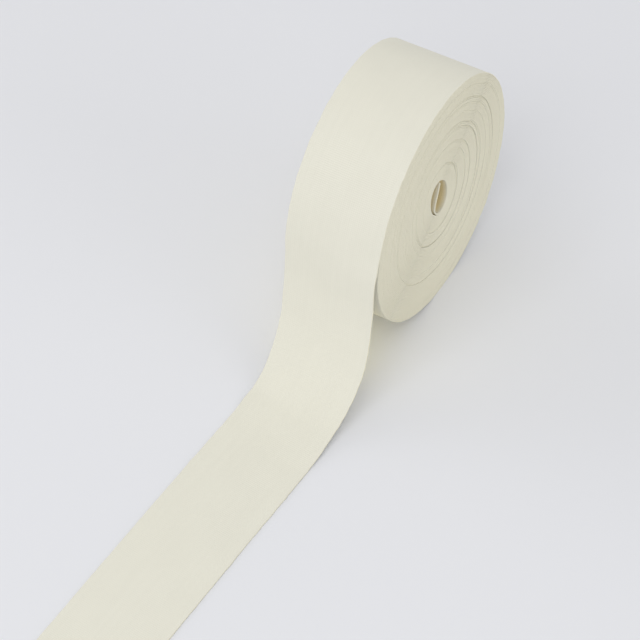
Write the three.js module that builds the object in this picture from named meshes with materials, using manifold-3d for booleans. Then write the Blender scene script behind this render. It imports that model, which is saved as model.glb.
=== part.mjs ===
// A roll of cotton ribbon. The roll stands on its rim. Its outer end leaves the front of the roll,
// falls to the floor in a soft S and runs out flat. There is no core: the first turn was wound on a
// slotted spindle, and it leaves an oval eye with the ribbon's inner end curled inside it.
//
// Millimetres, +Z up. +X is the way the loose end runs and Y is the roll's axis, with the near end
// face at +Y. The origin is on the floor under the middle of the roll.
import * as THREE from 'three';
import { mergeVertices } from 'three/addons/utils/BufferGeometryUtils.js';
import Module from 'manifold-3d';

const wasm = await Module();
wasm.setup();

// The ribbon
const RIBBON_WIDTH = 25;
const CLOTH = 0.33;
const TURN_PITCH = 0.35;
const SHEET = 1.0;
const GAP = 0.3;

// The roll's outline, seen from its near end. Angles go from +X towards +Z.
const RIM_RADIUS = 32.15;
const OVAL = 0.09;
const LOBE = 0.23;
const LOBE_TURN = 20;
const FLAT_DEPTH = 0.14;
const STEPS_ROUND = 90;

// The eye is an oval, with its long way nearly upright.
const EYE = { x: 1.9, z: 2.3, halfLength: 5.6, halfBreadth: 3.65, lean: 72 };

// The ribbon wanders sideways as it is wound, so its turns lie in groups. The last turns of a group
// sink into the near face, and the next group starts again flush with a small step. A row is one
// group, from the eye outwards: how far out it reaches, as a share of the way from the eye to the
// rim, how far it stands out of the near face, how deep its last turns sink, and the angle at which
// they sink most.
const TURN_GROUPS = [
  { reach: 0.18, level: -0.1, sink: 0.4, mostAt: 150 },
  { reach: 0.3, level: 0.0, sink: 0.2, mostAt: 270 },
  { reach: 0.39, level: 0.05, sink: 0.25, mostAt: 130 },
  { reach: 0.56, level: 0.1, sink: 0.5, mostAt: 170 },
  { reach: 0.66, level: 0.1, sink: 0.2, mostAt: 280 },
  { reach: 0.79, level: 0.1, sink: 0.35, mostAt: 140 },
  { reach: 0.91, level: 0.05, sink: 0.25, mostAt: 170 },
  { reach: 1.0, level: 0.0, sink: 0.0, mostAt: 180 },
];
const SINK_SHARE = 0.06;
const STEP_SHARE = 0.022;
const EVEN_SHARE = 0.55;

// The inner end: a strip across the eye, from its top round its front side to its foot. The rows
// are places in the end face, measured from the roll's axis.
const INNER_END = [
  { x: 1.2, z: 8.3 },
  { x: 1.8, z: 6.3 },
  { x: 2.55, z: 4.4 },
  { x: 3.45, z: 2.6 },
  { x: 4.0, z: 0.9 },
  { x: 4.1, z: -0.6 },
  { x: 3.75, z: -2.0 },
  { x: 3.0, z: -3.5 },
];
const INNER_END_STEPS = 16;

// The loose end. It leaves the roll a little sooner at its near edge than at its far edge. Each
// table follows one edge of the underside: x and z, and how far the edge has crept sideways.
const LEAVES_NEAR = 18;
const LEAVES_FAR = 5;
const WRAP = 12;
const RUN_OUT = 24;
const ARC_STEP = 4;
const NEAR_EDGE = [
  { x: 31.4, z: 38.4, side: 0.0 },
  { x: 32.5, z: 35.7, side: 0.1 },
  { x: 33.4, z: 32.7, side: 0.05 },
  { x: 34.0, z: 29.25, side: 0.1 },
  { x: 34.75, z: 25.1, side: 0.35 },
  { x: 36.15, z: 20.65, side: 0.65 },
  { x: 38.1, z: 16.05, side: 1.1 },
  { x: 40.9, z: 11.3, side: 1.45 },
  { x: 44.9, z: 7.05, side: 1.5 },
  { x: 49.9, z: 3.75, side: 1.35 },
  { x: 55.5, z: 1.7, side: 1.0 },
  { x: 61.25, z: 0.65, side: 0.85 },
  { x: 67.25, z: 0.0, side: 0.5 },
  { x: 74.25, z: 0.0, side: 0.1 },
  { x: 90.0, z: 0.0, side: -0.8 },
  { x: 143.5, z: 0.0, side: -3.5 },
];
const FAR_EDGE = [
  { x: 32.2, z: 32.0, side: 0.1 },
  { x: 32.7, z: 28.6, side: 0.3 },
  { x: 33.5, z: 24.2, side: 0.5 },
  { x: 34.85, z: 19.75, side: 0.75 },
  { x: 36.7, z: 15.2, side: 1.3 },
  { x: 39.4, z: 10.75, side: 1.6 },
  { x: 42.7, z: 6.35, side: 1.65 },
  { x: 46.5, z: 2.9, side: 1.55 },
  { x: 50.7, z: 0.8, side: 1.35 },
  { x: 55.2, z: 0.35, side: 1.0 },
  { x: 59.75, z: 0.0, side: 0.9 },
  { x: 66.8, z: 0.0, side: 0.5 },
  { x: 90.0, z: 0.0, side: -0.85 },
  { x: 143.5, z: 0.0, side: -3.5 },
];
const TAIL_STATIONS = 64;
const TAIL_STEPS_ACROSS = 4;
const EDGE_SAMPLES = 600;

const HALF_WIDTH = RIBBON_WIDTH / 2;
const SEAT_DROP = CLOTH + GAP;

function radians(degrees) {
  return THREE.MathUtils.degToRad(degrees);
}

// The outer surface of the outermost turn, out of round by a slight oval and three soft lobes.
function rimRadius(degrees) {
  const oval = OVAL * Math.cos(radians(2 * degrees));
  const lobes = LOBE * Math.cos(radians(3 * degrees + LOBE_TURN));
  return RIM_RADIUS - oval + lobes;
}

// The wound outline is a spiral: one turn back from the loose end it is one turn's pitch smaller.
function woundRadius(degrees) {
  const turnsBack = THREE.MathUtils.euclideanModulo(degrees - LEAVES_NEAR, 360) / 360;
  return rimRadius(degrees) - TURN_PITCH * turnsBack;
}

function axisHeight() {
  let lowest = 0;
  for (let step = 0; step < STEPS_ROUND; step += 1) {
    const degrees = (360 * step) / STEPS_ROUND;
    lowest = Math.min(lowest, woundRadius(degrees) * Math.sin(radians(degrees)));
  }
  return -lowest - FLAT_DEPTH;
}

const AXIS_Z = axisHeight();

function rimPoint(degrees, radius) {
  const x = radius * Math.cos(radians(degrees));
  const z = AXIS_Z + radius * Math.sin(radians(degrees));
  return new THREE.Vector2(x, Math.max(z, 0));
}

function eyePoint(degrees) {
  const lean = radians(EYE.lean);
  const along = EYE.halfLength * Math.cos(radians(degrees) - lean);
  const across = EYE.halfBreadth * Math.sin(radians(degrees) - lean);
  const x = EYE.x + along * Math.cos(lean) - across * Math.sin(lean);
  const z = EYE.z + along * Math.sin(lean) + across * Math.cos(lean);
  return new THREE.Vector2(x, AXIS_Z + z);
}

// How far a turn stands out of the near face at an angle.
function turnOffset(ring, degrees) {
  const swing = Math.cos(radians(degrees - ring.mostAt));
  return ring.level - ring.sink * (EVEN_SHARE + (1 - EVEN_SHARE) * swing);
}

// Rings of the end face from the eye to the rim: each group has one at its start, one where it
// begins to sink and one at its reach. The step to the next group lies between two close rings.
function faceRings() {
  const rings = [];
  let start = 0;
  for (const group of TURN_GROUPS) {
    rings.push({ ...group, share: start, sink: 0 });
    rings.push({ ...group, share: group.reach - SINK_SHARE, sink: 0 });
    rings.push({ ...group, share: group.reach });
    start = group.reach + STEP_SHARE;
  }
  return rings;
}

function addQuad(triangles, a, b, c, d) {
  triangles.push([a, b, c], [a, c, d]);
}

// A closed mesh from points and triangles.
function geometryFrom(points, triangles) {
  const geometry = new THREE.BufferGeometry();
  geometry.setAttribute('position', new THREE.Float32BufferAttribute(points.flat(), 3));
  geometry.setIndex(triangles.flat());
  return geometry;
}

function solidFrom(geometry) {
  const bare = geometry.clone();
  bare.deleteAttribute('normal');
  bare.deleteAttribute('uv');
  const merged = mergeVertices(bare);
  const vertProperties = new Float32Array(merged.attributes.position.array);
  const triVerts = new Uint32Array(merged.index.array);
  return new wasm.Manifold(new wasm.Mesh({ numProp: 3, vertProperties, triVerts }));
}

function geometryOf(solid) {
  const mesh = solid.getMesh();
  const geometry = new THREE.BufferGeometry();
  geometry.setAttribute('position', new THREE.BufferAttribute(mesh.vertProperties, 3));
  geometry.setIndex(new THREE.BufferAttribute(mesh.triVerts, 1));
  return geometry;
}

// A shape drawn in x and z, made solid along Y from low to high.
function alongAxis(outline, low, high) {
  const shape = new THREE.Shape(outline);
  const geometry = new THREE.ExtrudeGeometry(shape, { depth: high - low, bevelEnabled: false });
  geometry.rotateX(Math.PI / 2);
  geometry.translate(0, high, 0);
  return geometry;
}

// The wound disc: rings of points on the near face and on the far face, joined at rim and eye.
function woundDisc() {
  const rings = faceRings();
  const points = [];
  for (const side of [HALF_WIDTH, -HALF_WIDTH]) {
    for (const ring of rings) {
      for (let step = 0; step < STEPS_ROUND; step += 1) {
        const degrees = (360 * step) / STEPS_ROUND;
        const rim = rimPoint(degrees, woundRadius(degrees));
        const place = eyePoint(degrees).lerp(rim, ring.share);
        points.push([place.x, side + turnOffset(ring, degrees), place.y]);
      }
    }
  }
  const far = rings.length * STEPS_ROUND;
  const rim = far - STEPS_ROUND;
  const triangles = [];
  for (let step = 0; step < STEPS_ROUND; step += 1) {
    const next = (step + 1) % STEPS_ROUND;
    for (let inner = 0; inner < rim; inner += STEPS_ROUND) {
      const outer = inner + STEPS_ROUND;
      addQuad(triangles, inner + step, inner + next, outer + next, outer + step);
      addQuad(triangles, far + outer + step, far + outer + next, far + inner + next, far + inner + step);
    }
    addQuad(triangles, rim + step, rim + next, far + rim + next, far + rim + step);
    addQuad(triangles, far + step, far + next, next, step);
  }
  return geometryFrom(points, triangles);
}

// The seat is the room under the start of the loose end, with the gap between the two pieces.
// It follows the roll as far as the far edge does, and then runs out along the tangent.
function seat() {
  const start = LEAVES_NEAR + WRAP + THREE.MathUtils.radToDeg(GAP / RIM_RADIUS);
  const runOut = LEAVES_FAR - RUN_OUT;
  const outline = [];
  for (let degrees = start; degrees > LEAVES_FAR; degrees -= ARC_STEP) {
    outline.push(rimPoint(degrees, rimRadius(degrees) - SEAT_DROP));
  }
  for (let degrees = LEAVES_FAR; degrees >= runOut; degrees -= ARC_STEP) {
    const underside = rimRadius(LEAVES_FAR) - CLOTH;
    const tangent = underside / Math.cos(radians(LEAVES_FAR - degrees));
    outline.push(rimPoint(degrees, tangent - GAP));
  }
  outline.push(rimPoint(runOut, RIM_RADIUS + RIBBON_WIDTH));
  outline.push(rimPoint(start, RIM_RADIUS + RIBBON_WIDTH));
  return alongAxis(outline, -RIBBON_WIDTH, RIBBON_WIDTH);
}

// The inner end as a strip of even thickness along its middle line.
function innerEnd() {
  const knots = INNER_END.map((row) => new THREE.Vector2(row.x, AXIS_Z + row.z));
  const middle = new THREE.SplineCurve(knots);
  const front = [];
  const back = [];
  for (let step = 0; step <= INNER_END_STEPS; step += 1) {
    const share = step / INNER_END_STEPS;
    const place = middle.getPoint(share);
    const along = middle.getTangent(share);
    const out = new THREE.Vector2(-along.y, along.x).multiplyScalar(SHEET / 2);
    front.push(place.clone().add(out));
    back.push(place.clone().sub(out));
  }
  const offset = TURN_GROUPS[0].level;
  return alongAxis([...front, ...back.reverse()], offset - HALF_WIDTH, offset + HALF_WIDTH);
}

// One edge of the loose end's underside, from its start on the roll to its cut end.
function edgeCurve(rows, leaves, home) {
  const knots = [];
  for (let degrees = LEAVES_NEAR + WRAP; degrees > leaves; degrees -= ARC_STEP) {
    const place = rimPoint(degrees, rimRadius(degrees) - CLOTH);
    knots.push(new THREE.Vector3(place.x, home, place.y));
  }
  for (const row of rows) {
    knots.push(new THREE.Vector3(row.x, home + row.side, row.z));
  }
  const curve = new THREE.CatmullRomCurve3(knots, false, 'centripetal');
  curve.arcLengthDivisions = EDGE_SAMPLES;
  return curve;
}

function onFloor(point) {
  return new THREE.Vector3(point.x, point.y, Math.max(point.z, 0));
}

// The loose end: a sheet whose two edges have the same length, so a section joins the points that
// are equally far along them. The first station is on the roll and the last is a straight cut.
function looseEnd() {
  const near = edgeCurve(NEAR_EDGE, LEAVES_NEAR, HALF_WIDTH);
  const far = edgeCurve(FAR_EDGE, LEAVES_FAR, -HALF_WIDTH);
  const length = Math.min(near.getLength(), far.getLength());
  const points = [];
  for (let station = 0; station <= TAIL_STATIONS; station += 1) {
    const distance = (length * station) / TAIL_STATIONS;
    const nearShare = distance / near.getLength();
    const farShare = distance / far.getLength();
    const nearPoint = onFloor(near.getPointAt(nearShare));
    const farPoint = onFloor(far.getPointAt(farShare));
    const along = near.getTangentAt(nearShare).add(far.getTangentAt(farShare)).normalize();
    const across = nearPoint.clone().sub(farPoint).normalize();
    const up = along.cross(across).normalize().multiplyScalar(SHEET);
    for (let step = 0; step <= TAIL_STEPS_ACROSS; step += 1) {
      const under = farPoint.clone().lerp(nearPoint, step / TAIL_STEPS_ACROSS);
      points.push(under.toArray(), under.add(up).toArray());
    }
  }
  return geometryFrom(points, sheetTriangles());
}

function sheetTriangles() {
  const row = 2 * (TAIL_STEPS_ACROSS + 1);
  const triangles = [];
  for (let station = 0; station < TAIL_STATIONS; station += 1) {
    const here = station * row;
    const there = here + row;
    for (let step = 0; step < TAIL_STEPS_ACROSS; step += 1) {
      const left = 2 * step;
      const right = left + 2;
      addQuad(triangles, here + left, here + right, there + right, there + left);
      addQuad(triangles, here + left + 1, there + left + 1, there + right + 1, here + right + 1);
    }
    const last = row - 2;
    addQuad(triangles, here, there, there + 1, here + 1);
    addQuad(triangles, here + last, here + last + 1, there + last + 1, there + last);
  }
  const end = TAIL_STATIONS * row;
  for (let step = 0; step < TAIL_STEPS_ACROSS; step += 1) {
    const left = 2 * step;
    addQuad(triangles, left, left + 1, left + 3, left + 2);
    addQuad(triangles, end + left, end + left + 2, end + left + 3, end + left + 1);
  }
  return triangles;
}

function clothPiece(name, geometry, color) {
  const shaded = geometry.toNonIndexed();
  shaded.computeVertexNormals();
  const material = new THREE.MeshStandardMaterial({ color, roughness: 0.92, metalness: 0, name });
  const mesh = new THREE.Mesh(shaded, material);
  mesh.name = name;
  return mesh;
}

const roll = solidFrom(woundDisc()).subtract(solidFrom(seat())).add(solidFrom(innerEnd()));

const ribbonRoll = new THREE.Group();
ribbonRoll.add(clothPiece('roll', geometryOf(roll), '#dcd8c8'));
ribbonRoll.add(clothPiece('loose_end', looseEnd(), '#e4e2d2'));

export default ribbonRoll;
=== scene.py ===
# %% [markdown]
# # A roll of cotton ribbon
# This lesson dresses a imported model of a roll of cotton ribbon. The real thing is one long strip:
# ten yards of plain woven cotton, 25 mm wide, wound on a slotted spindle that was then pulled out.
# The roll stands on its rim, and the outer end falls off its front and runs out flat.
#
# Everything is in metres here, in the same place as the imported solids. The sizes below are in
# millimetres, because that is how ribbon is measured, and one factor turns them to metres.

import math
import random

import bpy
import numpy as np
from mathutils import Matrix, Quaternion, Vector


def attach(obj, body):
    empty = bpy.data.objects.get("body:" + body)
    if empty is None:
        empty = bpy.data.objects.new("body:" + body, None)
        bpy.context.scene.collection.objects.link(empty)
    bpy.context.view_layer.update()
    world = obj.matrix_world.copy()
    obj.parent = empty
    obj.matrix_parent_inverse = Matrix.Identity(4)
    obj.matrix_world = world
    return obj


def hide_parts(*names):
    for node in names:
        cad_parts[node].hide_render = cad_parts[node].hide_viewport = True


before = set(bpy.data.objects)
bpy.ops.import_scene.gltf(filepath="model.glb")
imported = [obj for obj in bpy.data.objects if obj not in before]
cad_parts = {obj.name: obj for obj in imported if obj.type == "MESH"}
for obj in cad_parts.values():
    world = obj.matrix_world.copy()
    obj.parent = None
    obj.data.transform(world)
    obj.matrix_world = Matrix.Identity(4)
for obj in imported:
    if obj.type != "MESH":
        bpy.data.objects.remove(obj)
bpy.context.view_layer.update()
MM = 0.001
print("solids:", sorted(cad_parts))

# %% [markdown]
# ## Seen as it was photographed
# The camera looks down on the roll from the side of its near end face. A long lens from far away
# keeps the ribbon's edges almost parallel. The place, the aim and the roll about the line of sight
# were worked out from the round rim and the straight edges of the ribbon.

# %% Camera
CAMERA_PLACE = Vector((395.18, 216.57, 494.13)) * MM
CAMERA_AIM = Vector((31.3, -3.96, 9.77)) * MM
CAMERA_ROLL = math.radians(-1.39)
LENS_MM = 150.0
SENSOR_MM = 36.0

camera_data = bpy.data.cameras.new("camera")
camera_data.lens = LENS_MM
camera_data.sensor_width = SENSOR_MM
camera = bpy.data.objects.new("camera", camera_data)
aim = (CAMERA_AIM - CAMERA_PLACE).to_track_quat("-Z", "Y")
turn = aim @ Quaternion((0, 0, 1), CAMERA_ROLL)
camera.matrix_world = Matrix.LocRotScale(CAMERA_PLACE, turn, None)
bpy.context.scene.collection.objects.link(camera)
bpy.context.scene.camera = camera
print("camera stands", round((CAMERA_AIM - CAMERA_PLACE).length / MM), "mm away")

# %% [markdown]
# ## Two helpers
# A node tree is easier to read when each node takes one line. `put` adds a node, sets what it is
# told to set, and joins or fills its inputs. `linear` turns a colour from a paint chart, written
# as sRGB hex, into the linear numbers that a renderer works with.

# %% Node and colour helpers
def put(tree, kind, feeds=None, **settings):
    node = tree.nodes.new(kind)
    for name, value in settings.items():
        setattr(node, name, value)
    for key, value in (feeds or {}).items():
        if isinstance(value, bpy.types.NodeSocket):
            tree.links.new(value, node.inputs[key])
        else:
            node.inputs[key].default_value = value
    return node


def linear(hex_colour):
    parts = [int(hex_colour[i : i + 2], 16) / 255 for i in (1, 3, 5)]
    return [c / 12.92 if c <= 0.04045 else ((c + 0.055) / 1.055) ** 2.4 for c in parts] + [1.0]


# %% [markdown]
# ## The roll's shape, as a rule
# A wound roll follows a rule: each turn lies on the one under it, so the outline grows by one
# thickness a turn. Here the innermost turn is an oval, left by the flat spindle, and the outermost
# is almost round, with three very soft lobes. A turn in between is a mix of the two. The weight of
# the roll presses its lowest side flat on the floor.

# %% Sizes of the ribbon and the roll, in mm
RIBBON_WIDTH = 25.0
CLOTH = 0.33
RIM_RADIUS = 32.15
OVAL = 0.09
LOBE = 0.23
LOBE_TURN = 20.0
FLAT_DEPTH = 0.14
TURN_PITCH = 0.35
LOWEST_STEP = 4.0
EYE_X, EYE_Z = 1.9, 2.3
EYE_HALF_LENGTH = 5.6
EYE_HALF_BREADTH = 3.65
EYE_LEAN = 72.0
TURNS = 78
LEAVES_NEAR = 18.0
LEAVES_FAR = 5.0


def rim_radius(degrees):
    oval = OVAL * np.cos(np.radians(2 * degrees))
    return RIM_RADIUS - oval + LOBE * np.cos(np.radians(3 * degrees + LOBE_TURN))


around = np.arange(0, 360, LOWEST_STEP)
turns_back = np.mod(around - LEAVES_NEAR, 360) / 360
heights = (rim_radius(around) - TURN_PITCH * turns_back) * np.sin(np.radians(around))
AXIS_Z = -heights.min() - FLAT_DEPTH
print("axis height", round(AXIS_Z, 2), "mm")

# %% [markdown]
# ## From the eye to the rim
# A place on the ribbon is named by how far back it is, in degrees, from where the ribbon leaves
# the roll. At the same angle there is one point on the eye and one on the rim, and the turn lies
# between the two, in the share of the way that its number gives. The inset is the depth under the
# ribbon's outer face. No point goes under the floor.

# %% Where a turn lies in the end face
FLOOR_CLEAR = 0.001
ALL_TURNS = 360 * TURNS


def rim_point(degrees, inset=0.0):
    radius = rim_radius(degrees) - inset
    angle = np.radians(degrees)
    return np.array([radius * np.cos(angle), AXIS_Z + radius * np.sin(angle)])


def eye_point(degrees):
    lean = math.radians(EYE_LEAN)
    angle = np.radians(degrees) - lean
    along = EYE_HALF_LENGTH * np.cos(angle)
    across = EYE_HALF_BREADTH * np.sin(angle)
    x = EYE_X + along * math.cos(lean) - across * math.sin(lean)
    z = EYE_Z + along * math.sin(lean) + across * math.cos(lean)
    return np.array([x, AXIS_Z + z])


def wound_point(back, inset):
    eye, rim = eye_point(LEAVES_NEAR + back), rim_point(LEAVES_NEAR + back)
    build = np.linalg.norm(rim - eye, axis=0)
    share = 1 - back / ALL_TURNS - inset / build
    x, z = eye + (rim - eye) * share
    return np.array([x, np.maximum(z, FLOOR_CLEAR + CLOTH - inset)])


print("the eye's top is", round(eye_point(90)[1], 1), "mm above the floor")

# %% [markdown]
# ## Turns that wander sideways
# Nobody winds a ribbon perfectly true. Groups of turns drift out of the near face and then drop
# back, and that gives the end face its broad, faint steps. On top of that each turn wanders a few
# hundredths of a millimetre by itself, drawn here from a fixed seed so that every run is the same.

# %% Sideways drift of the turns
# reach: share of the way from the eye to the rim; level: mm out of the near face;
# sink: how far its last turns sink in below that; most_at: the angle at which they sink most
TURN_GROUPS = [
    dict(reach=0.18, level=-0.1, sink=0.5, most_at=160),
    dict(reach=0.31, level=0.0, sink=0.4, most_at=270),
    dict(reach=0.39, level=0.05, sink=0.35, most_at=130),
    dict(reach=0.52, level=0.08, sink=0.35, most_at=150),
    dict(reach=0.565, level=0.1, sink=0.5, most_at=165),
    dict(reach=0.66, level=0.1, sink=0.4, most_at=280),
    dict(reach=0.74, level=0.08, sink=0.25, most_at=140),
    dict(reach=0.79, level=0.1, sink=0.4, most_at=140),
    dict(reach=0.91, level=0.05, sink=0.3, most_at=160),
    dict(reach=1.0, level=0.0, sink=0.0, most_at=180),
]
SINK_SHARE = 0.025
STEP_SHARE = 0.014
EVEN_SHARE = 0.55
WANDER = 0.018
WANDER_STEP = 75.0

SEED = 11

dice = random.Random(SEED)
WANDER_COUNT = int(ALL_TURNS / WANDER_STEP) + 8
wander_knots = [dice.gauss(0, WANDER) for _ in range(WANDER_COUNT)]


def turn_offset(back):
    share = 1 - back / ALL_TURNS
    start, rings = 0.0, []
    for group in TURN_GROUPS:
        reach, level, most_at = group["reach"], group["level"], group["most_at"]
        rings.append((start, level, 0.0, most_at))
        rings.append((reach - SINK_SHARE, level, 0.0, most_at))
        rings.append((reach, level, group["sink"], most_at))
        start = reach + STEP_SHARE
    shares, levels, sinks, most_at = np.array(rings).T
    level = np.interp(share, shares, levels)
    sink = np.interp(share, shares, sinks)
    swing = np.cos(np.radians(LEAVES_NEAR + back - np.interp(share, shares, most_at)))
    return level - sink * (EVEN_SHARE + (1 - EVEN_SHARE) * swing)


def wander(back):
    place = np.asarray(back) / WANDER_STEP
    low = np.floor(place).astype(int)
    ease = 0.5 - 0.5 * np.cos(np.pi * (place - low))
    knots = np.array(wander_knots)
    return knots[low] * (1 - ease) + knots[low + 1] * ease


print(len(TURN_GROUPS), "groups of turns,", WANDER_COUNT, "random draws")

# %% [markdown]
# ## A smooth line through a few points
# The free ends of the ribbon follow no rule, so they are drawn through short tables of points. A
# centripetal Catmull-Rom curve goes through every point and never loops between two close ones.
# The line is then cut into even steps along its own length.

# %% Smooth line through points
LEAST_GAP = 1e-6


def smooth_line(knots, samples=24):
    knots = np.asarray(knots, float)
    ends = np.vstack([2 * knots[0] - knots[1], knots, 2 * knots[-1] - knots[-2]])
    line = []
    for i in range(len(knots) - 1):
        p = ends[i : i + 4]
        gaps = np.maximum(np.linalg.norm(np.diff(p, axis=0), axis=1) ** 0.5, LEAST_GAP)
        t0, t1, t2, t3 = np.concatenate([[0], np.cumsum(gaps)])
        t = np.linspace(t1, t2, samples, endpoint=False)[:, None]
        a1 = (t1 - t) / (t1 - t0) * p[0] + (t - t0) / (t1 - t0) * p[1]
        a2 = (t2 - t) / (t2 - t1) * p[1] + (t - t1) / (t2 - t1) * p[2]
        a3 = (t3 - t) / (t3 - t2) * p[2] + (t - t2) / (t3 - t2) * p[3]
        b1 = (t2 - t) / (t2 - t0) * a1 + (t - t0) / (t2 - t0) * a2
        b2 = (t3 - t) / (t3 - t1) * a2 + (t - t1) / (t3 - t1) * a3
        line.append((t2 - t) / (t2 - t1) * b1 + (t - t1) / (t2 - t1) * b2)
    return np.vstack([*line, knots[-1:]])


def run_of(line):
    steps = np.linalg.norm(np.diff(line, axis=0), axis=1)
    return np.concatenate([[0], np.cumsum(steps)])


def even_steps(line, places):
    run = run_of(line)
    return np.column_stack([np.interp(places, run, column) for column in line.T])


bow = smooth_line([(0.0, 0.0), (1.0, 1.0), (2.0, 0.0)])
print("a bow over two steps is", round(run_of(bow)[-1], 2), "steps long")

# %% [markdown]
# ## The wound turns: one strip that follows a path
# The body of the roll is one strip, wound about seventy-seven times. It could be drawn as a solid
# disc with grooves, but then light would not get between the turns, and the soft warm shade of
# the end face comes from just that. So the real path is drawn, from the free inner end that
# curls in the eye, round and round, to the turn under the outermost one.
#
# Cotton is springy: the eye sits a little above the middle, so the turns above it are pressed
# thinner than those below. Each point of the path gets a `press`, the share of the cloth's own
# thickness that it has room for, so that neighbours touch all the way round.
#
# Python works the path out and stores it as a line of points, each with its drift and its press.

# %% Path of the wound turns
STEPS_A_TURN = 80
SEAM_BACK = 366.0
INNER_WALL_BACK = 27592.0
# x and z from the roll's axis: the foot of the eye, then up its front side to the free end
INNER_END = [
    (0.65, -3.4), (1.35, -3.35), (2.75, -2.7), (3.6, -1.7), (3.95, -0.5),
    (3.75, 0.9), (3.15, 2.6), (2.4, 4.4), (1.85, 5.9), (1.55, 6.9),
]
INNER_STEP = 0.35
FULLNESS = 0.95

backs = np.arange(INNER_WALL_BACK, SEAM_BACK, -360.0 / STEPS_A_TURN)
backs = np.append(backs, SEAM_BACK)
wound = wound_point(backs, CLOTH / 2).T
axis_place = np.array([0.0, AXIS_Z])
curl_knots = [*(np.array(INNER_END[::-1]) + axis_place), wound[0], wound[2], wound[4]]
curl = smooth_line(curl_knots)
curl_run = run_of(curl)
wall_at = curl_run[np.argmin(np.linalg.norm(curl - wound[0], axis=1))]
curl = even_steps(curl, np.arange(0, wall_at - INNER_STEP / 2, INNER_STEP))
path = np.vstack([curl, wound])
drift = turn_offset(backs) + wander(backs)
drift = np.concatenate([np.full(len(curl), drift[0]), drift])

angles = LEAVES_NEAR + backs
growth = (rim_point(angles) - eye_point(angles)) / TURNS
heading = np.gradient(wound, axis=0).T
heading /= np.linalg.norm(heading, axis=0)
room = np.abs(growth[0] * heading[1] - growth[1] * heading[0])
press = FULLNESS * room / CLOTH
press = np.concatenate([np.linspace(1.0, press[0], len(curl)), press])
print("a turn has", round(room.min(), 3), "to", round(room.max(), 3), "mm of room")
path_run = run_of(path)
print("wound path:", len(path), "points,", round(path_run[-1] * MM, 3), "m of ribbon")

# %% [markdown]
# ## The ribbon's cross-section
# A Geometry Nodes tree turns the line into cloth. Its inputs are the path, the ribbon's width and
# thickness, and its finish. It starts with the cross-section: a thin oblong whose selvedges are
# rounded. The section could be drawn once as a curve, but then it would not follow the width and
# the thickness. So a ring of as many points is made, and each point looks its place up by number.

# %% Cross-section of the ribbon
# inset: mm in from the selvedge; height: share of half the thickness
ROUNDED = 0.35
SELVEDGE = [
    (ROUNDED, 1.0), (0.07, 0.97), (0.0, 0.6),
    (0.0, -0.6), (0.07, -0.97), (ROUNDED, -1.0),
]
section_rows = [(1, i, h) for i, h in SELVEDGE] + [(-1, i, h) for i, h in SELVEDGE[::-1]]

sweep = bpy.data.node_groups.new("Ribbon swept along a path", "GeometryNodeTree")
sockets = {}
for name, kind in (
    ("Path", "NodeSocketGeometry"),
    ("Width", "NodeSocketFloat"),
    ("Thickness", "NodeSocketFloat"),
    ("Finish", "NodeSocketMaterial"),
):
    sockets[name] = sweep.interface.new_socket(name=name, in_out="INPUT", socket_type=kind)
sweep.interface.new_socket(name="Ribbon", in_out="OUTPUT", socket_type="NodeSocketGeometry")
given = put(sweep, "NodeGroupInput")

ring = put(
    sweep, "GeometryNodeCurvePrimitiveCircle",
    {"Resolution": len(section_rows)}, mode="RADIUS",
)
rows = put(sweep, "GeometryNodeIndexSwitch", data_type="VECTOR")
while len(rows.index_switch_items) < len(section_rows):
    rows.index_switch_items.new()
for number, (which, inset, height) in enumerate(section_rows):
    rows.inputs[number + 1].default_value = (which, height, which * inset * MM)
sweep.links.new(put(sweep, "GeometryNodeInputIndex").outputs[0], rows.inputs[0])
parts = put(sweep, "ShaderNodeSeparateXYZ", {0: rows.outputs[0]})
half_width = put(
    sweep, "ShaderNodeMath", {0: given.outputs["Width"], 1: 0.5}, operation="MULTIPLY",
)
half_cloth = put(
    sweep, "ShaderNodeMath", {0: given.outputs["Thickness"], 1: 0.5}, operation="MULTIPLY",
)
outer = put(
    sweep, "ShaderNodeMath",
    {0: parts.outputs[0], 1: half_width.outputs[0]}, operation="MULTIPLY",
)
across = put(
    sweep, "ShaderNodeMath",
    {0: outer.outputs[0], 1: parts.outputs[2]}, operation="SUBTRACT",
)
lift = put(
    sweep, "ShaderNodeMath",
    {0: parts.outputs[1], 1: half_cloth.outputs[0]}, operation="MULTIPLY",
)
corner = put(sweep, "ShaderNodeCombineXYZ", {0: across.outputs[0], 1: lift.outputs[0]})
section = put(
    sweep, "GeometryNodeSetPosition",
    {"Geometry": ring.outputs[0], "Position": corner.outputs[0]},
)
marked = put(
    sweep, "GeometryNodeStoreNamedAttribute",
    {"Geometry": section.outputs[0], "Name": "across", "Value": across.outputs[0]},
    data_type="FLOAT", domain="POINT",
)
print("section:", len(section_rows), "points")

# %% [markdown]
# ## Sweeping the cloth along the path
# The section is swept along the path. Before that the path's own place is stored on it, so that
# each point of the cloth knows its middle afterwards. Two moves follow. Towards or away from the
# middle, the cloth is pressed to the thickness that its turn has room for. Sideways, each turn is
# pushed by its drift. Both come after the sweep, because a flat path keeps the cloth straight
# across, while a path that wobbles sideways would twist it.

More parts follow.
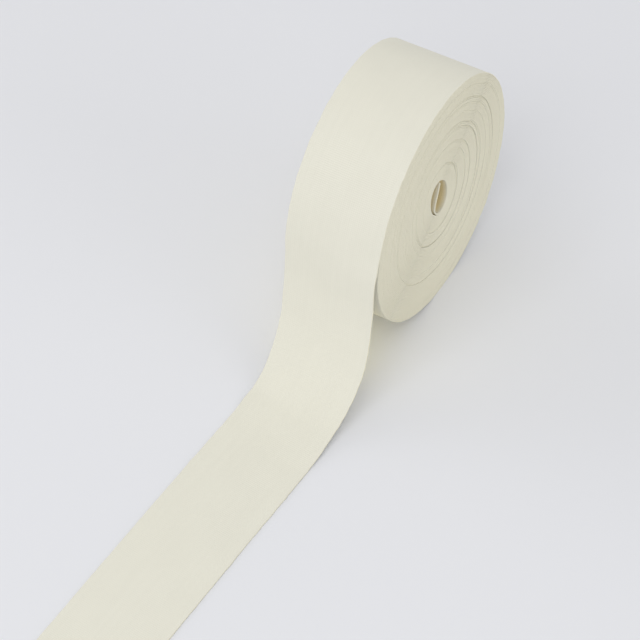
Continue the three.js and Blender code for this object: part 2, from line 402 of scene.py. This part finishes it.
# %% Sweep, press and drift
bare_line = put(sweep, "GeometryNodeMeshToCurve", {0: given.outputs["Path"]})
position = put(sweep, "GeometryNodeInputPosition")
line = put(
    sweep, "GeometryNodeStoreNamedAttribute",
    {"Geometry": bare_line.outputs[0], "Name": "middle", "Value": position.outputs[0]},
    data_type="FLOAT_VECTOR", domain="POINT",
)
strip = put(
    sweep, "GeometryNodeCurveToMesh",
    {"Curve": line.outputs[0], "Profile Curve": marked.outputs[0], "Fill Caps": True},
)
READER = "GeometryNodeInputNamedAttribute"
read = {
    name: put(sweep, READER, {"Name": name}, data_type="FLOAT").outputs[0]
    for name in ("drift", "run", "across", "press")
}
middle = put(sweep, READER, {"Name": "middle"}, data_type="FLOAT_VECTOR")
from_middle = put(
    sweep, "ShaderNodeVectorMath",
    {0: position.outputs[0], 1: middle.outputs[0]}, operation="SUBTRACT",
)
more = put(sweep, "ShaderNodeMath", {0: read["press"], 1: 1.0}, operation="SUBTRACT")
swell = put(sweep, "ShaderNodeCombineXYZ", {0: more.outputs[0], 2: more.outputs[0]})
push = put(sweep, "ShaderNodeCombineXYZ", {1: read["drift"]})
move = put(
    sweep, "ShaderNodeVectorMath",
    {0: from_middle.outputs[0], 1: swell.outputs[0], 2: push.outputs[0]},
    operation="MULTIPLY_ADD",
)
pushed = put(
    sweep, "GeometryNodeSetPosition", {"Geometry": strip.outputs[0], "Offset": move.outputs[0]},
)
weave_place = put(sweep, "ShaderNodeCombineXYZ", {0: read["across"], 1: read["run"]})
placed = put(
    sweep, "GeometryNodeStoreNamedAttribute",
    {"Geometry": pushed.outputs[0], "Name": "cloth", "Value": weave_place.outputs[0]},
    data_type="FLOAT_VECTOR", domain="POINT",
)
soft = put(
    sweep, "GeometryNodeSetShadeSmooth",
    {"Geometry": placed.outputs[0], "Shade Smooth": True},
)
real = put(sweep, "GeometryNodeRealizeInstances", {"Geometry": soft.outputs[0]})
finish = put(
    sweep, "GeometryNodeSetMaterial",
    {"Geometry": real.outputs[0], "Material": given.outputs["Finish"]},
)
put(sweep, "NodeGroupOutput", {0: finish.outputs[0]})
print("nodes in the sweep:", len(sweep.nodes))

# %% [markdown]
# ## Plain woven cotton
# The ribbon is unbleached cotton, woven in a plain weave and not dyed, so it is a warm ivory. Fine
# cotton yarn scatters light well: it is matt all over, with a faint sheen from loose fibres seen
# edge on. Each thread goes over one and under the next. Real threads here are about 0.3 mm apart,
# which is one pixel in this picture, so they are drawn half a millimetre apart to show at all.
#
# The pattern reads the `cloth` attribute, which holds how far a point is across and along the
# ribbon, so the weave bends with the cloth and never slides.

# %% Cotton: colours and sizes
IVORY = "#EBE9DB"
IVORY_SHADE = "#E9E7D9"
# painted bounce light: the edges of the turns in the end face are tinted yellower
IVORY_EDGE_PAINTED_BOUNCE = "#E9E5D0"
# painted shade and bounce light: the innermost turn deep in the eye is tinted straw
IVORY_EYE_PAINTED_SHADE_BOUNCE = "#ECDDB0"
THREAD_GAP = 0.5
THREAD_DEPTH = 0.045
# painted shade: the hollows between the threads are painted this much darker
HOLLOW_SHADE = 0.96
STREAK_ACROSS = 0.9
STREAK_ALONG = 0.03
CLOUD_SIZE = 9.0
UNEVEN_RANGE = (0.75, 1.25)
EDGE_BAND = (12.36, 12.47)
EYE_RUN = (60.0, 45.0)
EYE_BAND = (12.4, 11.0)

cotton = bpy.data.materials.new("Cotton ribbon, plain woven, undyed")
cotton.use_nodes = True
cloth_tree = cotton.node_tree
cloth_tree.nodes.clear()
mark = put(
    cloth_tree, "ShaderNodeAttribute", attribute_type="GEOMETRY", attribute_name="cloth",
)
in_mm = put(
    cloth_tree, "ShaderNodeVectorMath",
    {0: mark.outputs["Vector"], "Scale": 1 / MM}, operation="SCALE",
)
sides = put(cloth_tree, "ShaderNodeSeparateXYZ", {0: in_mm.outputs[0]})
print("threads:", round(RIBBON_WIDTH / THREAD_GAP), "across the ribbon")

# %% [markdown]
# ## Threads over and under
# The sine of the place, in thread gaps, is the round back of a thread. The product of both sines
# changes sign from one crossing to the next, and so says which of the two threads is on top. A
# thread on top stands `THREAD_RISE` above the mean height of a thread, and one below as much under.

# %% Cotton: threads over and under
MATH = "ShaderNodeMath"
THREAD_RISE = 0.5
THREAD_MEAN = 0.6

crests = []
for axis in (0, 1):
    angle = put(
        cloth_tree, MATH,
        {0: sides.outputs[axis], 1: math.pi / THREAD_GAP}, operation="MULTIPLY",
    )
    crests.append(put(cloth_tree, MATH, {0: angle.outputs[0]}, operation="SINE").outputs[0])
over = put(cloth_tree, MATH, {0: crests[0], 1: crests[1]}, operation="MULTIPLY")
threads = []
for crest, rise in zip(crests, (THREAD_RISE, -THREAD_RISE)):
    round_back = put(cloth_tree, MATH, {0: crest}, operation="ABSOLUTE")
    lifted = put(
        cloth_tree, MATH,
        {0: over.outputs[0], 1: rise, 2: THREAD_MEAN}, operation="MULTIPLY_ADD",
    )
    threads.append(put(
        cloth_tree, MATH,
        {0: round_back.outputs[0], 1: lifted.outputs[0]}, operation="MULTIPLY",
    ))
weave = put(
    cloth_tree, MATH,
    {0: threads[0].outputs[0], 1: threads[1].outputs[0]}, operation="MAXIMUM",
)
print("weave:", len(cloth_tree.nodes), "nodes so far")

# %% [markdown]
# ## Uneven yarn
# Spun yarn is never even: a thick yarn shows as a faint streak along the ribbon. Larger, softer
# clouds come from handling and from the cloth not lying perfectly flat. Both are noise, and the
# streaks are the same noise drawn out along the ribbon.

# %% Cotton: uneven yarn
streak_place = put(
    cloth_tree, "ShaderNodeVectorMath",
    {0: in_mm.outputs[0], 1: (STREAK_ACROSS, STREAK_ALONG, 1.0)}, operation="MULTIPLY",
)
streak = put(
    cloth_tree, "ShaderNodeTexNoise",
    {"Vector": streak_place.outputs[0], "Scale": 1.0, "Detail": 3.0},
)
cloud = put(
    cloth_tree, "ShaderNodeTexNoise",
    {"Vector": in_mm.outputs[0], "Scale": 1 / CLOUD_SIZE, "Detail": 2.0},
)
uneven = put(cloth_tree, MATH, {0: streak.outputs[0], 1: cloud.outputs[0]}, operation="ADD")
shade = put(
    cloth_tree, "ShaderNodeMapRange",
    {"Value": uneven.outputs[0], "From Min": UNEVEN_RANGE[0], "From Max": UNEVEN_RANGE[1]},
)
flat_tone = put(
    cloth_tree, "ShaderNodeMix",
    {"Factor": shade.outputs[0], "A": linear(IVORY_SHADE), "B": linear(IVORY)},
    data_type="RGBA",
)
print("tones from", IVORY_SHADE, "to", IVORY)

# %% [markdown]
# ## Painted bounce light at the edges and in the eye
# The edges of the turns, seen in the end face, are painted a little yellower than the flat cloth,
# as painted bounce light, because light bounces between them. In the eye it bounces most and the
# shade is deepest, so the innermost turn is painted straw-coloured, as painted bounce light and
# shade. Renders stop after a few bounces, so both are painted as a tone of their own. The last step
# joins the tones, the weave's hollows, painted darker as painted shade, and the sheen of loose
# fibres in one matt shader.

# %% Cotton: edges, eye and finish
from_middle_line = put(cloth_tree, MATH, {0: sides.outputs[0]}, operation="ABSOLUTE")
at_edge = put(
    cloth_tree, "ShaderNodeMapRange",
    {"Value": from_middle_line.outputs[0], "From Min": EDGE_BAND[0], "From Max": EDGE_BAND[1]},
)
# painted bounce light on the selvedges of the turns seen in the end face
edge_painted_bounce = put(
    cloth_tree, "ShaderNodeMix",
    {"Factor": at_edge.outputs[0], "A": flat_tone.outputs["Result"], "B": linear(IVORY_EDGE_PAINTED_BOUNCE)},
    data_type="RGBA",
)
inmost = put(
    cloth_tree, "ShaderNodeMapRange",
    {"Value": sides.outputs[1], "From Min": EYE_RUN[0], "From Max": EYE_RUN[1]},
)
inside = put(
    cloth_tree, "ShaderNodeMapRange",
    {"Value": from_middle_line.outputs[0], "From Min": EYE_BAND[0], "From Max": EYE_BAND[1]},
)
eye_painted_shade_share = put(
    cloth_tree, MATH, {0: inmost.outputs[0], 1: inside.outputs[0]}, operation="MULTIPLY",
)
# painted shade and bounce light on the innermost turn in the eye
tone = put(
    cloth_tree, "ShaderNodeMix",
    {"Factor": eye_painted_shade_share.outputs[0], "A": edge_painted_bounce.outputs["Result"], "B": linear(IVORY_EYE_PAINTED_SHADE_BOUNCE)},
    data_type="RGBA",
)
# painted shade: the base colour is darkened in the hollows between the threads
hollow_painted_shade = put(
    cloth_tree, "ShaderNodeMapRange",
    {"Value": weave.outputs[0], "From Max": THREAD_MEAN, "To Min": HOLLOW_SHADE, "To Max": 1.0},
)
woven_tone = put(
    cloth_tree, "ShaderNodeVectorMath",
    {0: tone.outputs["Result"], "Scale": hollow_painted_shade.outputs[0]}, operation="SCALE",
)
bump = put(
    cloth_tree, "ShaderNodeBump",
    {"Strength": 0.6, "Distance": THREAD_DEPTH * MM, "Height": weave.outputs[0]},
)
shader = put(
    cloth_tree, "ShaderNodeBsdfPrincipled",
    {
        "Base Color": woven_tone.outputs[0],
        "Normal": bump.outputs[0],
        "Roughness": 0.9,
        "Specular IOR Level": 0.2,
        "Sheen Weight": 0.08,
        "Sheen Roughness": 0.5,
    },
)
put(cloth_tree, "ShaderNodeOutputMaterial", {"Surface": shader.outputs[0]})
print("cotton:", len(cloth_tree.nodes), "nodes")


# %% [markdown]
# ## Making the wound turns
# The path becomes a mesh of points and edges, the tree dresses it, and the result is kept as a
# plain mesh. The tree's inputs are set before it runs for the first time.

# %% Run the sweep
def set_floats(mesh, name, values):
    stored = mesh.attributes.new(name, "FLOAT", "POINT")
    stored.data.foreach_set("value", np.asarray(values, np.float32))


path_mesh = bpy.data.meshes.new("path of the wound turns")
path_points = [(x * MM, 0.0, z * MM) for x, z in path]
path_mesh.from_pydata(path_points, [(i, i + 1) for i in range(len(path) - 1)], [])
set_floats(path_mesh, "drift", drift * MM)
set_floats(path_mesh, "run", path_run * MM)
set_floats(path_mesh, "press", press)
wound_turns = bpy.data.objects.new("wound_turns", path_mesh)
bpy.context.scene.collection.objects.link(wound_turns)
wind = wound_turns.modifiers.new("wind", "NODES")
wind.node_group = sweep
wind[sockets["Width"].identifier] = RIBBON_WIDTH * MM
wind[sockets["Thickness"].identifier] = CLOTH * MM
wind[sockets["Finish"].identifier] = cotton

graph = bpy.context.evaluated_depsgraph_get()
wound_mesh = bpy.data.meshes.new_from_object(
    wound_turns.evaluated_get(graph), preserve_all_data_layers=True, depsgraph=graph
)
wound_turns.modifiers.clear()
wound_turns.data = wound_mesh
wound_mesh.name = "wound_turns"
bpy.data.meshes.remove(path_mesh)
print("wound turns:", len(wound_mesh.polygons), "faces")

# %% [markdown]
# ## The outermost turn and the loose end
# The last turn and the loose end are one stretch of ribbon and the most visible part, so they are
# made on a much finer grid. The two selvedges are drawn first. On the roll they follow the rule;
# then the near edge leaves a little before the far one, and both follow a table of places down to
# the floor and along it. Both edges are equally long, so the cloth between them isn't stretched.

# %% The two edges of the underside
# x and z in mm, and how far the edge has crept sideways
NEAR_EDGE = [
    (31.4, 38.4, 0.0), (32.5, 35.7, 0.1), (33.4, 32.7, 0.05), (34.0, 29.25, 0.1),
    (34.75, 25.1, 0.35), (36.15, 20.65, 0.65), (38.1, 16.05, 1.1), (40.9, 11.3, 1.45),
    (44.9, 7.05, 1.5), (49.9, 3.75, 1.35), (55.5, 1.7, 1.0), (61.25, 0.65, 0.85),
    (67.25, 0.0, 0.5), (74.25, 0.0, 0.1), (90.0, 0.0, -0.8), (143.5, 0.0, -3.5),
]
FAR_EDGE = [
    (32.2, 32.0, 0.1), (32.7, 28.6, 0.3), (33.5, 24.2, 0.5), (34.85, 19.75, 0.75),
    (36.7, 15.2, 1.3), (39.4, 10.75, 1.6), (42.7, 6.35, 1.65), (46.5, 2.9, 1.55),
    (50.7, 0.8, 1.35), (55.2, 0.35, 1.0), (59.75, 0.0, 0.9), (66.8, 0.0, 0.5),
    (90.0, 0.0, -0.85), (143.5, 0.0, -3.5),
]
ARC_STEP = 4.0


def edge_line(table, leaves, home):
    knots = []
    for degrees in np.arange(LEAVES_NEAR + SEAM_BACK, leaves, -ARC_STEP):
        back = max(degrees - LEAVES_NEAR, 0.0)
        x, z = wound_point(back, CLOTH) if back > 0 else rim_point(degrees, CLOTH)
        knots.append((x, home + turn_offset(back), z))
    knots += [(x, home + side, z) for x, z, side in table]
    return smooth_line(knots)


HALF = RIBBON_WIDTH / 2
near_line = edge_line(NEAR_EDGE, LEAVES_NEAR, HALF)
far_line = edge_line(FAR_EDGE, LEAVES_FAR, -HALF)
near_length, far_length = run_of(near_line)[-1], run_of(far_line)[-1]
print("edges:", round(near_length, 1), "and", round(far_length, 1), "mm")

# %% [markdown]
# ## Cloth between the edges
# A row of points goes across at each step, close together at the selvedges and wide in between.
# The weft turns back at each selvedge, so the edge is a row of tiny loops. The rows are a quarter
# of a loop apart to show them. The free part also waves a little, as cloth off a roll does.

# %% Rows across the cloth
LOOP = 0.62
LOOP_OUT = 0.035
LOOP_LIFT = 0.03
INNER_COLUMNS = 9
FREE_EASE = 40.0
# how far one wave reaches and how high it is, in mm, and where it starts, in radians
WAVES = [(38.0, 0.05, 0.6), (23.0, 0.03, 2.1), (61.0, 0.05, 4.0)]

length = min(near_length, far_length)
rows_count = int(length / (LOOP / 4))
places = np.linspace(0, length, rows_count)
near_rows = even_steps(near_line, places)
far_rows = even_steps(far_line, places)
for edge in (near_rows, far_rows):
    edge[:, 2] = np.maximum(edge[:, 2], FLOOR_CLEAR)
cross = near_rows - far_rows
cross /= np.linalg.norm(cross, axis=1)[:, None]
along = np.gradient(near_rows + far_rows, axis=0)
up = np.cross(along, cross)
up /= np.linalg.norm(up, axis=1)[:, None]

loose_from = length - run_of(smooth_line([(x, s, z) for x, z, s in NEAR_EDGE]))[-1]
free = np.clip((places - loose_from) / FREE_EASE, 0, 1)
free = free * free * (3 - 2 * free)
inner = np.linspace(ROUNDED, RIBBON_WIDTH - ROUNDED, INNER_COLUMNS + 2)[1:-1]
# place across, height, nearness to the selvedge, and which selvedge
ring_points = [(RIBBON_WIDTH - i, h, 1 - i / ROUNDED, 1) for i, h in SELVEDGE]
ring_points += [(a, -1.0, 0.0, 0) for a in inner[::-1]]
ring_points += [(i, h, 1 - i / ROUNDED, -1) for i, h in SELVEDGE[::-1]]
ring_points += [(a, 1.0, 0.0, 0) for a in inner]
print("rows:", rows_count, "with", len(ring_points), "points each")

# %% [markdown]
# ## The cloth of the loose end
# Each column of points runs the whole length. It lies between the two edges in its share of the
# width, is lifted by the cloth's thickness and the waves, and at a selvedge moves in and out with
# the loops. The weft also pulls the edge in here and there, by a few hundredths of a millimetre.
# Waves lift the edges more than the middle, since a loose ribbon curls at its selvedges.

# %% Build the cloth
PULL = 0.035
PULL_STEP = 1.3
WAVE_SLANT = 1.7
WAVE_AT_MIDDLE = 0.35
WAVE_TO_EDGE = 1.3
FAR_LOOP_SHIFT = 2.0

phase = 2 * np.pi * places / LOOP
pull_places = np.arange(0, length + 2 * PULL_STEP, PULL_STEP)
pulls = {}
for which in (1, -1):
    tugs = [dice.gauss(0, PULL) for _ in pull_places]
    pulls[which] = np.interp(places, pull_places, tugs)
columns = []
marks = []
for a, height, edge_share, which in ring_points:
    t = a / RIBBON_WIDTH
    base = far_rows * (1 - t) + near_rows * t
    wave = sum(
        size * (1 + np.sin(2 * np.pi * places / span + shift + WAVE_SLANT * t)) / 2
        for span, size, shift in WAVES
    )
    wave_share = WAVE_AT_MIDDLE + WAVE_TO_EDGE * abs(t - 0.5)
    rise = CLOTH * (1 + height) / 2 + free * wave * wave_share
    rise = rise + edge_share * LOOP_LIFT * np.sin(phase + (0 if which > 0 else FAR_LOOP_SHIFT))
    out = which * edge_share * (LOOP_OUT * np.cos(2 * phase) + pulls.get(which, 0.0))
    columns.append(base + up * rise[:, None] + cross * out[:, None])
    from_centre = np.full(rows_count, a - HALF)
    marks.append(np.column_stack([from_centre, places + path_run[-1], np.zeros(rows_count)]))
points = np.stack(columns, axis=1)
points[:, :, 2] = np.maximum(points[:, :, 2], 0.0)
ring_size = len(ring_points)

faces = []
for row in range(rows_count - 1):
    first, second = row * ring_size, (row + 1) * ring_size
    for i in range(ring_size):
        j = (i + 1) % ring_size
        faces.append((first + i, first + j, second + j, second + i))
faces.append(tuple(range(ring_size)))
faces.append(tuple((rows_count - 1) * ring_size + i for i in reversed(range(ring_size))))

loose_mesh = bpy.data.meshes.new("outer_turn_and_loose_end")
loose_mesh.from_pydata((points.reshape(-1, 3) * MM).tolist(), [], faces)
cloth_mark = loose_mesh.attributes.new("cloth", "FLOAT_VECTOR", "POINT")
flat_marks = np.stack(marks, axis=1).reshape(-1) * MM
cloth_mark.data.foreach_set("vector", flat_marks.astype(np.float32))
loose_mesh.shade_smooth()
loose_mesh.materials.append(cotton)
outer_turn = bpy.data.objects.new("outer_turn_and_loose_end", loose_mesh)
bpy.context.scene.collection.objects.link(outer_turn)
print("outer turn and loose end:", len(loose_mesh.polygons), "faces")

# %% [markdown]
# ## Which way is out
# A closed skin must have its faces pointing outwards. The sum of the small signed volumes under
# its faces says so: it is positive when they do.

# %% Turn the faces outwards where needed
for mesh in (loose_mesh, wound_mesh):
    mesh.calc_loop_triangles()
    mesh_points = np.zeros(len(mesh.vertices) * 3)
    mesh.vertices.foreach_get("co", mesh_points)
    mesh_points = mesh_points.reshape(-1, 3)
    corners = np.zeros(len(mesh.loop_triangles) * 3, np.int32)
    mesh.loop_triangles.foreach_get("vertices", corners)
    a, b, c = (mesh_points[corners.reshape(-1, 3)[:, i]] for i in range(3))
    volume = np.einsum("ij,ij->i", a, np.cross(b, c)).sum() / 6
    if volume < 0:
        mesh.flip_normals()
    print(mesh.name, len(mesh.loop_triangles), "triangles,", round(abs(volume) / MM**3), "mm3")

# %% [markdown]
# ## The floor
# The roll stands on a pale, faintly blue matt sheet of paper that runs past the picture on every
# side. It is stage dressing and no part of the ribbon.

# %% Floor
PAPER = "#EAEBEF"
FLOOR_HALF = 3.0
paper = bpy.data.materials.new("Paper sheet, matt white")
paper.use_nodes = True
paper_tree = paper.node_tree
paper_tree.nodes.clear()
paper_shader = put(
    paper_tree, "ShaderNodeBsdfPrincipled",
    {"Base Color": linear(PAPER), "Roughness": 0.85, "Specular IOR Level": 0.2},
)
put(paper_tree, "ShaderNodeOutputMaterial", {"Surface": paper_shader.outputs[0]})
floor_mesh = bpy.data.meshes.new("floor")
floor_signs = ((-1, -1), (1, -1), (1, 1), (-1, 1))
floor_corners = [(x * FLOOR_HALF, y * FLOOR_HALF, 0) for x, y in floor_signs]
floor_mesh.from_pydata(floor_corners, [], [(0, 1, 2, 3)])
floor_mesh.materials.append(paper)
floor = bpy.data.objects.new("floor", floor_mesh)
bpy.context.scene.collection.objects.link(floor)
print("floor:", 2 * FLOOR_HALF, "m square")

# %% [markdown]
# ## Broad, soft light
# Most of the light comes from everywhere, as in a light tent. A lamp high in front of the roll
# lights the fall and the top, and leaves the soft shadow behind the roll. Two low ones at the
# sides open the end faces, and a weak one behind keeps the back of the rim from going dark.

# %% Lamps
# name, place in m, side of the lamp in m, power in W, colour
LAMPS = [
    ("front lamp", (0.65, 0.0, 0.8), 0.9, 3.55, "#FFFFFF"),
    ("left lamp", (0.05, -0.97, 0.26), 0.7, 2.15, "#FFFFFF"),
    ("right lamp", (0.05, 0.97, 0.26), 0.7, 1.7, "#FFFFFF"),
    ("back lamp", (-0.92, 0.0, 0.26), 0.7, 0.8, "#FFFFFF"),
]
LAMP_AIM = Vector((0.03, 0, 0.02))

for name, spot, size, power, colour in LAMPS:
    lamp = bpy.data.lights.new(name, "AREA")
    lamp.shape = "SQUARE"
    lamp.size = size
    lamp.energy = power
    lamp.color = linear(colour)[:3]
    lamp_object = bpy.data.objects.new(name, lamp)
    facing = (LAMP_AIM - Vector(spot)).to_track_quat("-Z", "Y")
    lamp_object.matrix_world = Matrix.LocRotScale(Vector(spot), facing, None)
    bpy.context.scene.collection.objects.link(lamp_object)
print("lamps:", [row[0] for row in LAMPS])

# %% [markdown]
# ## Light through the cloth
# One layer of thin cotton lets some light through and tints it. So the shadow between the roll and
# the fall isn't grey but a dull yellow green. Cloth that really lets light through makes a render
# slow and the ribbon darker, so a very weak lamp of that colour stands behind the fall and shines
# on the roll's foot and the floor under it. The camera doesn't see the lamp itself.

# %% Light through the cloth
GLOW_PLACE = Vector((34.0, 0.0, 14.0)) * MM
GLOW_AIM = Vector((24.0, 0.0, 9.0)) * MM
GLOW_SIZES = (8.0 * MM, 22.0 * MM)
GLOW_POWER = 0.0006
GLOW_COLOUR = "#F4E25A"

glow = bpy.data.lights.new("light through the cloth", "AREA")
glow.shape = "RECTANGLE"
glow.size_y, glow.size = GLOW_SIZES
glow.energy = GLOW_POWER
glow.color = linear(GLOW_COLOUR)[:3]
glow_object = bpy.data.objects.new(glow.name, glow)
glow_facing = (GLOW_AIM - GLOW_PLACE).to_track_quat("-Z", "X")
glow_object.matrix_world = Matrix.LocRotScale(GLOW_PLACE, glow_facing, None)
glow_object.visible_camera = False
bpy.context.scene.collection.objects.link(glow_object)
print("glow:", GLOW_POWER, "W")

# %% [markdown]
# ## Light from everywhere
# An even white world stands for the light tent. The plain view transform keeps the pale colours
# as they are given, where a filmic one would grey them.

# %% World and view
WORLD_STRENGTH = 0.59
WORLD_COLOUR = "#FFFFFF"

world = bpy.data.worlds.new("studio")
world.use_nodes = True
sky = world.node_tree.nodes["Background"]
sky.inputs["Color"].default_value = linear(WORLD_COLOUR)
sky.inputs["Strength"].default_value = WORLD_STRENGTH
bpy.context.scene.world = world
bpy.context.scene.view_settings.view_transform = "Standard"
print("world:", WORLD_STRENGTH)

# %% [markdown]
# ## Attaching the pieces to the body
# Both pieces ride on the roll's only body and stand for its two solids.

for piece, node in ((wound_turns, "roll"), (outer_turn, "loose_end")):
    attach(piece, "root")
    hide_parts(node)
